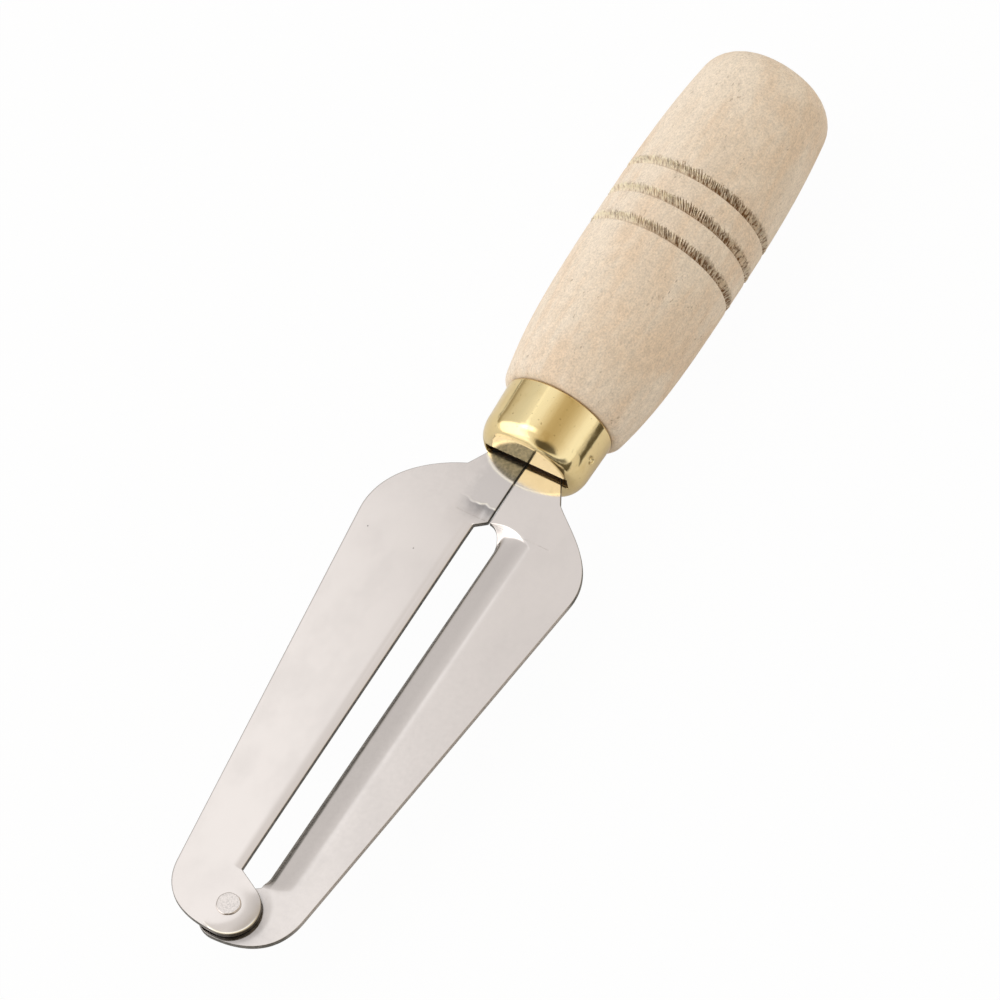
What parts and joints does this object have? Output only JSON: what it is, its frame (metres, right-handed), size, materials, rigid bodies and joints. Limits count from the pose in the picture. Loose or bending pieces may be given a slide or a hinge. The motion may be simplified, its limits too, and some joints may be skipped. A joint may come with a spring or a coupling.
{
  "type": "melon peeler",
  "caption": "Hand peeler with a long tapering blade of two flat steel leaves, a narrow peeling slot between them, a brass ferrule and a turned wooden handle.",
  "frame": {"origin": "middle of the flat butt of the handle", "axes": "+Y along the handle's axis, from the blade's tip to the butt; +Z out of the upper faces of the leaves; +X towards the guard leaf, so the cutting leaf is at -X"},
  "size_m": [0.0523, 0.234, 0.0346],
  "materials": {
    "wood": "bare turned wood, unvarnished",
    "brass": "polished",
    "sheet_steel": "satin, fine polishing marks",
    "rivet_steel": "satin, ground nearly flush"
  },
  "bodies": {
    "root": {"handle": "wood", "ferrule": "brass", "cutting_leaf": "sheet_steel", "guard_leaf": "sheet_steel", "tip_rivet": "rivet_steel"}
  },
  "joints": []
}
